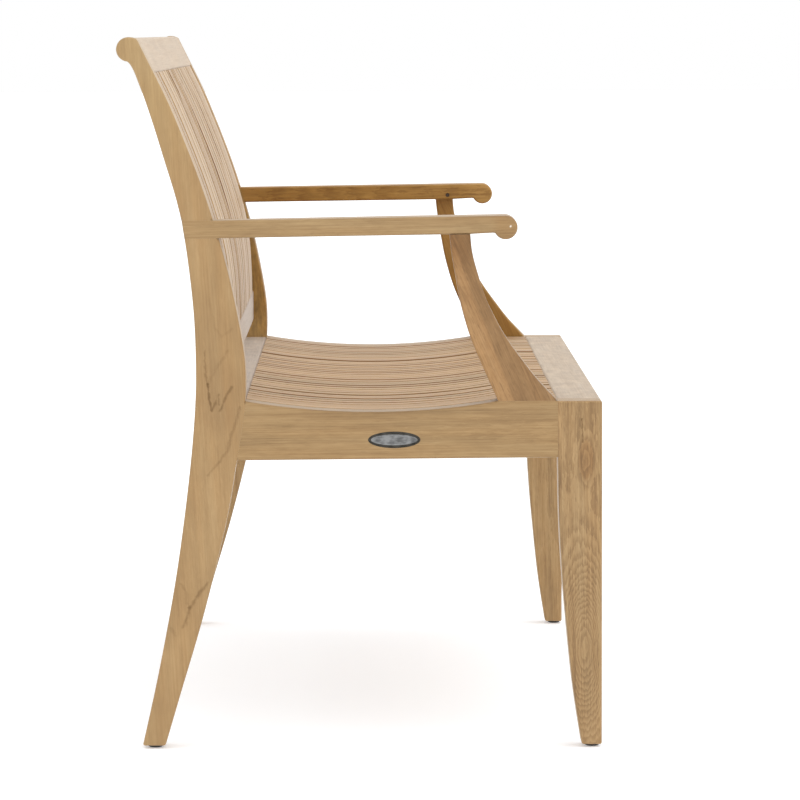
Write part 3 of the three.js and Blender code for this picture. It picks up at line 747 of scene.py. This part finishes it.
# ---------------------------------------------------------------- slats

def dish_rise(y):
    """Height of the dish above its lowest line."""
    return DISH_RADIUS - math.sqrt(DISH_RADIUS**2 - (y - DISH_MIDDLE)**2)


def seat_top(y):
    """Height of the seat: level at the front, then dished."""
    if y < DISH_FRONT:
        return SEAT_EDGE
    return SEAT_EDGE - dish_rise(DISH_FRONT) + dish_rise(y)


def curve_through(points, steps):
    """Points on a smooth curve through the given ones, steps to each stretch."""
    ends = (2 * points[0] - points[1], 2 * points[-1] - points[-2])
    knots = [ends[0], *points, ends[1]]
    line = []
    for a, b, c, d in zip(knots, knots[1:], knots[2:], knots[3:]):
        for i in range(steps):
            t = i / steps
            line.append(0.5 * (2 * b + (c - a) * t + (2 * a - 5 * b + 4 * c - d) * t**2
                               + (3 * b - a - 3 * c + d) * t**3))
    line.append(points[-1])
    return line


def seat_line():
    """The upper line of a seat slat, between the faces of the two rails."""
    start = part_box("front_seat_rail")[1].y + FIT
    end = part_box("rear_seat_rail")[0].y - FIT
    steps = 40
    level = [Vector((start + (DISH_FRONT - start) * i / 4, SEAT_EDGE)) for i in range(4)]
    dish = [DISH_FRONT + (end - DISH_FRONT) * i / steps for i in range(steps + 1)]
    return level + [Vector((y, seat_top(y))) for y in dish]


def bowed_line(line, middle, reach):
    """A slat's line bent a little forwards about a height."""
    return [Vector((p.x - BOW * math.exp(-((p.y - middle) / reach)**4), p.y)) for p in line]


def rounded_section(width, thick, ease, steps=4):
    """(across, down) pairs round a slat's section, from its upper face."""
    points = []
    for cx, cy, turn in ((1, 0, 0), (1, 1, 1), (-1, 1, 2), (-1, 0, 3)):
        x0 = cx * (width / 2 - ease)
        y0 = ease if cy == 0 else thick - ease
        for i in range(steps + 1):
            a = math.pi / 2 * (turn + i / steps)
            points.append((x0 + ease * math.sin(a), y0 - ease * math.cos(a)))
    return points


def tilted(section, angle, lift):
    """A section turned a little about the slat's length and set a little high or low."""
    turn = Matrix.Rotation(angle, 2)
    return [tuple(turn @ Vector(point) - Vector((0.0, lift))) for point in section]


def sweep(bm, x, line, section):
    """Carries a section along a line of the side view, on the right of its run."""
    loops = []
    for i, point in enumerate(line):
        ahead = line[min(i + 1, len(line) - 1)] - line[max(i - 1, 0)]
        ahead.normalize()
        beside = Vector((ahead.y, -ahead.x))
        loop = [bm.verts.new((x + u, point.x + beside.x * v, point.y + beside.y * v)) for u, v in section]
        loops.append(loop)
    for a, b in zip(loops, loops[1:]):
        for i in range(len(section)):
            k = (i + 1) % len(section)
            bm.faces.new((a[i], a[k], b[k], b[i]))
    bm.faces.new(loops[0])
    bm.faces.new(loops[-1])


def add_block(bm, corner_low, corner_high, axes):
    """A block between two corners that are given on these axes."""
    made = bmesh.ops.create_cube(bm, size=1.0)["verts"]
    low, high = Vector(corner_low), Vector(corner_high)
    scale = Matrix.Diagonal((*(high - low), 1.0))
    place = Matrix.Translation((low + high) / 2) @ scale
    bmesh.ops.transform(bm, matrix=axes @ place, verts=made)


def end_axes(point, ahead):
    """A matrix with X across the bench, Y out along a slat's end, and its origin there."""
    out = Vector((0.0, ahead.x, ahead.y))
    up = Vector((1, 0, 0)).cross(out)
    axes = Matrix((Vector((1, 0, 0)), out, up)).transposed().to_4x4()
    return Matrix.Translation((0.0, point.x, point.y)) @ axes


def slat(name, node, x, line, thick, ends, material, tone, side_shade, shift, tilt, lift):
    """A slat with a tongue at each end. Its sides are painted deeper in tone than its face, as painted shade
    in the gaps between slats.
    """
    bm = bmesh.new()
    sweep(bm, x, line, tilted(rounded_section(SLAT_WIDTH, thick, SLAT_EASE), tilt, lift))
    half = TONGUE_THICK / 2
    reach = SLAT_WIDTH / 2 - TONGUE_SHOULDER
    for axes in ends:
        add_block(bm, (x - reach, FIT / 2, -half), (x + reach, TONGUE_DEPTH, half), axes)
    bmesh.ops.recalc_face_normals(bm, faces=bm.faces)
    piece = piece_from(bm, name, material, "teak_slats", node)
    flat = SLAT_WIDTH / 2 - SLAT_EASE
    beyond = [max(0.0, abs(v.co.x - x) - flat) for v in piece.data.vertices]
    # Painted shade in the gaps: the tone deepens from the edge of the face down the sides.
    tones = [tone + side_shade * min(1.0, past / SLAT_EASE) for past in beyond]
    lie = line[-1] - line[0]
    set_grain(piece, (0.0, lie.x, lie.y), (1.0, 0.0, 0.0), shift, tones)


def spacers(name, pitch, axes, material, nodes):
    """The blocks between the tongues, which fill a rail's groove."""
    bm = bmesh.new()
    half = TONGUE_THICK / 2
    reach = (pitch - SLAT_WIDTH) / 2 + SPACER_LAP
    for i in range(SLAT_COUNT - 1):
        x = (i + 1 - SLAT_COUNT / 2) * pitch
        add_block(bm, (x - reach, FIT, -half), (x + reach, TONGUE_DEPTH, half), axes)
    piece = piece_from(bm, name, material, "teak_slats", *nodes)
    set_grain(piece, (1, 0, 0), (0, 1, 0), (2.0, 0.4, 1.1), 0.25)


def slat_runs():
    """How the slats of each kind run: their upper line, their thickness, and the axes of their two ends."""
    seat = seat_line()
    level = Vector((-1.0, 0.0))
    drop = Vector((0, SEAT_SLAT_THICK - SEAT_TONGUE_RISE))
    seat_ends = (end_axes(seat[0] - drop, level), end_axes(seat[-1] - drop, -level))
    back = curve_through([Vector(p) for p in BACK_LINE], 7)
    rise = (back[-1] - back[-2]).normalized()
    inward = Vector((rise.y, -rise.x)) * BACK_SLAT_THICK / 2
    back_ends = (
        end_axes(back[0] + Vector((BACK_SLAT_THICK / 2, 0)), Vector((0.0, -1.0))),
        end_axes(back[-1] + inward, rise),
    )
    return {"seat": (seat, SEAT_SLAT_THICK, seat_ends), "back": (back, BACK_SLAT_THICK, back_ends)}


def slat_chances(chance, kind):
    """The tone, the place in its board, the tilt, the lift and the shift that chance gives a slat."""
    loose = SLAT_LOOSE[kind]
    tone = chance.gauss(0.0, SLAT_TONE[kind])
    shift = [chance.uniform(-4, 4) for _ in range(3)]
    tilt = math.radians(chance.gauss(0.0, SLAT_TILT) * loose)
    lift = chance.gauss(0.0, SLAT_RISE) * loose
    aside = chance.gauss(0.0, SLAT_SHIFT) * loose
    return tone, shift, tilt, lift, aside


def all_slats(woods):
    """Thirty-six slats in the seat and as many in the back, each cut from its own board."""
    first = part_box("seat_slats_01")
    pitch = (first[1].x - first[0].x + 2 * FIT) / SLATS_IN_GROUP
    chance = random.Random(SLAT_SEED)
    runs = slat_runs()
    for i in range(SLAT_COUNT):
        x = (i + 0.5 - SLAT_COUNT / 2) * pitch
        group = f"{i // SLATS_IN_GROUP + 1:02d}"
        for kind, (line, thick, ends) in runs.items():
            tone, shift, tilt, lift, aside = slat_chances(chance, kind)
            lift = SLAT_LIFT.get((kind, i), lift)
            aside = GAP_SHIFT.get((kind, i), aside)
            side_shade = SLAT_SIDE_SHADE[kind]
            own_line = line
            if (kind, i) in BOWED:
                own_line = bowed_line(line, *BOWED[kind, i])
                side_shade *= BOWED_SIDE_SHADE
            wood = chance.choices(woods[kind], weights=SLAT_WOOD_SHARES)[0]
            slat(f"{kind}_slat_{i + 1:02d}", f"{kind}_slats_{group}", x + aside, own_line, thick, ends, wood,
                 tone, side_shade, shift, tilt, lift)
    for kind, (_, _, ends) in runs.items():
        nodes = [f"{kind}_slats_{g + 1:02d}" for g in range(SLAT_COUNT // SLATS_IN_GROUP)]
        for axes, place in zip(ends, SPACER_PLACES[kind]):
            spacers(f"{kind}_spacers_{place}", pitch, axes, woods[kind][1], nodes)


# ---------------------------------------------------------------- rails

def rails(woods, brace_wood):
    """The four long rails, and the brace under the seat."""
    for node, wood in woods.items():
        piece = eased(node, wood, "teak_rail")
        own_board = (0.31 * len(node), 0.13, 0.7)
        set_grain(piece, (1.0, 0.0, 0.0), (0.0, 0.5, 1.0), own_board)
    piece = eased("seat_brace", brace_wood, "teak_frame", BRACE_ARRIS, BRACE_ARRIS_STEPS)
    set_grain(piece, (0.0, 1.0, 0.0), (0.0, 0.0, 1.0), (0.9, 0.2, 0.5))


# ---------------------------------------------------------------- timber of each piece

# Natural marks in single boards, as they lie in the side view: points are (Y, Z).
# Each streak is (strength, half width, its points).
REAR_LEG_STREAKS = (
    (0.50, 3.0 * MM, ((0.199, 0.515), (0.199, 0.485), (0.196, 0.472))),
    (0.85, 3.4 * MM, ((0.196, 0.472), (0.194, 0.451), (0.190, 0.437))),
    (0.60, 3.2 * MM, ((0.190, 0.437), (0.185, 0.451))),
    (0.55, 3.2 * MM, ((0.182, 0.458), (0.182, 0.445))),
    (0.60, 3.8 * MM, ((0.180, 0.438), (0.173, 0.455), (0.166, 0.468))),
    (0.35, 4.3 * MM, ((0.155, 0.442), (0.171, 0.387), (0.178, 0.375), (0.196, 0.355))),
    (0.50, 4.6 * MM, ((0.197, 0.216), (0.205, 0.206), (0.215, 0.192), (0.221, 0.183))),
    (0.50, 4.6 * MM, ((0.221, 0.183), (0.224, 0.172), (0.229, 0.158))),
    (0.30, 4.3 * MM, ((0.231, 0.214), (0.225, 0.204), (0.224, 0.189))),
    (0.28, 4.6 * MM, ((0.244, 0.157), (0.239, 0.147))),
    (0.16, 4.1 * MM, ((0.193, 0.580), (0.187, 0.545), (0.178, 0.533), (0.164, 0.542))),
    (0.24, 4.6 * MM, ((0.170, 0.515), (0.185, 0.490), (0.196, 0.472))),
)
FRONT_LEG_STREAKS = ((0.9, 1.9 * MM, ((-0.284, 0.426), (-0.284, 0.413), (-0.285, 0.396))),)
# A small pale dot on the front end of the right arm.
ARM_PALE_DOT = ((1.0, 2.2 * MM, ((-0.192, 0.6728), (-0.192, 0.6732))),)
KNOT = (-0.289, 0.373)
# Each knot is (Y, Z, half width, half height, rise of the growth layers).
FRONT_LEG_KNOTS = ((*KNOT, 0.010, 0.030, 0.0038), (-0.288, 0.130, 0.026, 0.090, 0.017))
HEARTWOOD_EDGE = ((-0.116, 0.658), (-0.197, 0.450))  # where heartwood meets sapwood in the right post
INNER_FACE = 0.570  # where the left end frame's inner faces lie
# The tint of the painted shade on the left end frame's inner faces.
INNER_SHADE_TINT = (0.88, 0.74, 0.41)

SLAT_SHEEN = {"seat": 0.36, "back": 0.39}
SLAT_SHEEN_TINT = {"seat": (1.0, 0.90, 0.75), "back": (1.0, 0.97, 0.89)}
SLAT_PALETTES = {
    "seat": {"sandy": SANDY, "russet": RUSSET, "olive": OLIVE},
    "back": {"sandy": STRAW, "russet": FAWN, "olive": OLIVE},
}


def rail_woods():
    """The boards of the rails, in paler and greyer teak than the frame."""
    look = dict(rings=0.1, bands=0.2, clouds=0.25, fine=0.3, pores=0.2)
    cooler = all_over((0.95, 0.99, 1.05))
    return {
        "front_seat_rail": teak("teak_front_rail", ASHEN, mottle=0.75, tints=[cooler], **look),
        "rear_seat_rail": teak("teak_rear_rail", GREYISH, mottle=0.9, **look),
        "lower_back_rail": teak("teak_back_rail", GREYISH, mottle=0.2, **look),
        "head_rail": teak("teak_head_rail", ASHEN, mottle=0.1, **look),
    }


def slat_woods():
    """The three woods that the slats of each kind are cut from."""
    woods = {}
    for kind, palettes in SLAT_PALETTES.items():
        sheen = dict(sheen=SLAT_SHEEN[kind], sheen_tint=SLAT_SHEEN_TINT[kind])
        look = dict(rings=0.1, clouds=0.15, gloss=0.35, **sheen)
        woods[kind] = [teak(f"teak_{kind}_slats_{name}", tones, **look) for name, tones in palettes.items()]
    return woods


def right_woods():
    """The boards of the right end frame, each with tints of its own."""
    return {
        "rear_leg": teak(
            "teak_rear_leg_right", HONEY, rings=0.06, bands=0.12, fine=0.20, clouds=0.26, pores=0.12,
            streaks=REAR_LEG_STREAKS,
            tints=[
                wash((1.08, 1.13, 1.16), UPWARDS, 0.70, 0.86),
                wash((1.03, 1.06, 1.12), UPWARDS, 0.84, 0.89),
                spot((0.93, 0.91, 0.89), 0.183, 0.455, 0.030, 0.050),
            ]),
        "front_leg": teak(
            "teak_front_leg_right", TAWNY, rings=0.32, gap=1.2 * MM, bulge=9 * MM, swell=(2.6, 15.0, 15.0),
            knots=FRONT_LEG_KNOTS, fine=0.56, bands=0.26, pores=0.5, streaks=FRONT_LEG_STREAKS,
            tints=[
                wash((0.96, 0.96, 0.95), UPWARDS, 0.0, 0.1),
                spot((0.82, 0.73, 0.62), *KNOT, 0.010, 0.027),
            ]),
        "side_apron": teak(
            "teak_apron_right", HONEY, bands=0.20,
            tints=[
                all_over((0.90, 0.89, 0.85)),
                wash((0.94, 0.94, 0.95), UPWARDS, 0.395, 0.440),
            ]),
        "arm": teak(
            "teak_arm_right", HONEY, streaks=ARM_PALE_DOT, streak_paint=PALE_DOT_COLOUR,
            tints=[
                all_over((0.91, 0.92, 0.92)),
                wash((0.97, 0.91, 0.82), FORWARDS, 0.165, 0.180),
            ]),
        "arm_post": teak(
            "teak_post_right", UMBER, clouds=0.3, mottle=0.25, pores=0.4, gloss=0.35,
            tints=[
                sapwood((1.32, 1.30, 1.28), *HEARTWOOD_EDGE, 4 * MM),
                # painted shade under the arm, partly the post's darker heartwood: darker towards the top
                wash((0.78, 0.70, 0.58), UPWARDS, 0.600, 0.655),
            ]),
    }


def left_woods():
    """The boards of the left end frame, with painted shade on their inner side."""
    return {
        "rear_leg": teak(
            "teak_rear_leg_left", HONEY, fine=0.40, pores=0.3,
            tints=[painted_inner_shade((1.0, 0.92, 0.56), INNER_FACE, 2 * MM, above=0.45, patchy=0.7)]),
        "front_leg": teak(
            "teak_front_leg_left", TAWNY, rings=0.20, gap=1.5 * MM,
            tints=[wash((1.10, 1.12, 1.12), UPWARDS, 0.0, 0.01)]),
        "side_apron": teak("teak_apron_left", HONEY),
        "arm": teak(
            "teak_arm_left", HONEY, rings=0.3, sheen=0.1, gloss=0.3,
            tints=[
                painted_inner_shade(INNER_SHADE_TINT, INNER_FACE, 6 * MM),
                wash((1.15, 1.22, 1.45), FORWARDS, 0.150, 0.185),
            ]),
        "arm_post": teak(
            "teak_post_left", HONEY, sheen=0.1, gloss=0.3,
            tints=[painted_inner_shade(INNER_SHADE_TINT, INNER_FACE, 3 * MM)]),
    }


# ---------------------------------------------------------------- build

def bench():
    """Every piece of the bench."""
    rail_teaks = rail_woods()
    brace_teak = teak("teak_brace", HONEY)
    shaded_pin_teak = teak("teak_pin", PIN_IN_SHADE)
    slat_teaks = slat_woods()
    end_frame(RIGHT, right_woods())
    end_frame(LEFT, left_woods())
    for hand in (RIGHT, LEFT):
        arm_pin(hand, shaded_pin_teak)
    black = nylon()
    for end in ("front", "rear"):
        for hand in (RIGHT, LEFT):
            foot_glide(f"{end}_foot_glide_{hand}", black)
    rails(rail_teaks, brace_teak)
    oval_plate(
        pewter("pewter_rim", (0.075, 0.070, 0.060), (0.030, 0.028, 0.024), 0.40),
        pewter("pewter_face", (0.27, 0.27, 0.265), (0.12, 0.12, 0.118), 0.28),
    )
    all_slats(slat_teaks)


# ---------------------------------------------------------------- floor, light, camera

def floor():
    """A floor that reaches out of every view."""
    bm = bmesh.new()
    bmesh.ops.create_grid(bm, x_segments=1, y_segments=1, size=60.0)
    mesh = bpy.data.meshes.new("floor")
    bm.to_mesh(mesh)
    bm.free()
    mesh.materials.append(pale_floor())
    ground = bpy.data.objects.new("floor", mesh)
    bpy.context.scene.collection.objects.link(ground)


def studio():
    """White light from all round, and a broad soft key light from above, the front and the right end."""
    world = bpy.data.worlds.new("white_studio")
    world.use_nodes = True
    background = world.node_tree.nodes["Background"]
    background.inputs["Color"].default_value = (1.0, 1.0, 1.0, 1.0)
    background.inputs["Strength"].default_value = 1.0
    bpy.context.scene.world = world
    bpy.context.scene.view_settings.view_transform = "Standard"
    lamp = bpy.data.lights.new("soft_key", "SUN")
    lamp.energy = 1.1
    lamp.angle = math.radians(75)
    key = bpy.data.objects.new("soft_key", lamp)
    key.rotation_euler = Vector((-0.35, -0.55, 1.6)).to_track_quat("Z", "Y").to_euler()
    bpy.context.scene.collection.objects.link(key)


EYE = Vector((-6.187, -0.0125, 0.922))
YAW = math.radians(-0.39)
PITCH = math.radians(4.83)
ROLL = math.radians(-0.14)
LENS = 196.56  # mm, on a sensor 36 mm wide


def camera():
    """An end view from far off, from a little above the head rail."""
    ahead = Vector((math.cos(PITCH) * math.cos(YAW), math.cos(PITCH) * math.sin(YAW), -math.sin(PITCH)))
    level = Vector((math.sin(YAW), -math.cos(YAW), 0.0))
    upright = level.cross(ahead)
    right = level * math.cos(ROLL) + upright * math.sin(ROLL)
    up = right.cross(ahead)
    data = bpy.data.cameras.new("camera")
    data.sensor_width = 36.0
    data.lens = LENS
    data.clip_end = 200.0
    eye = bpy.data.objects.new("camera", data)
    eye.matrix_world = Matrix.Translation(EYE) @ Matrix((right, up, -ahead)).transposed().to_4x4()
    bpy.context.scene.collection.objects.link(eye)
    bpy.context.scene.camera = eye


bench()
floor()
studio()
camera()
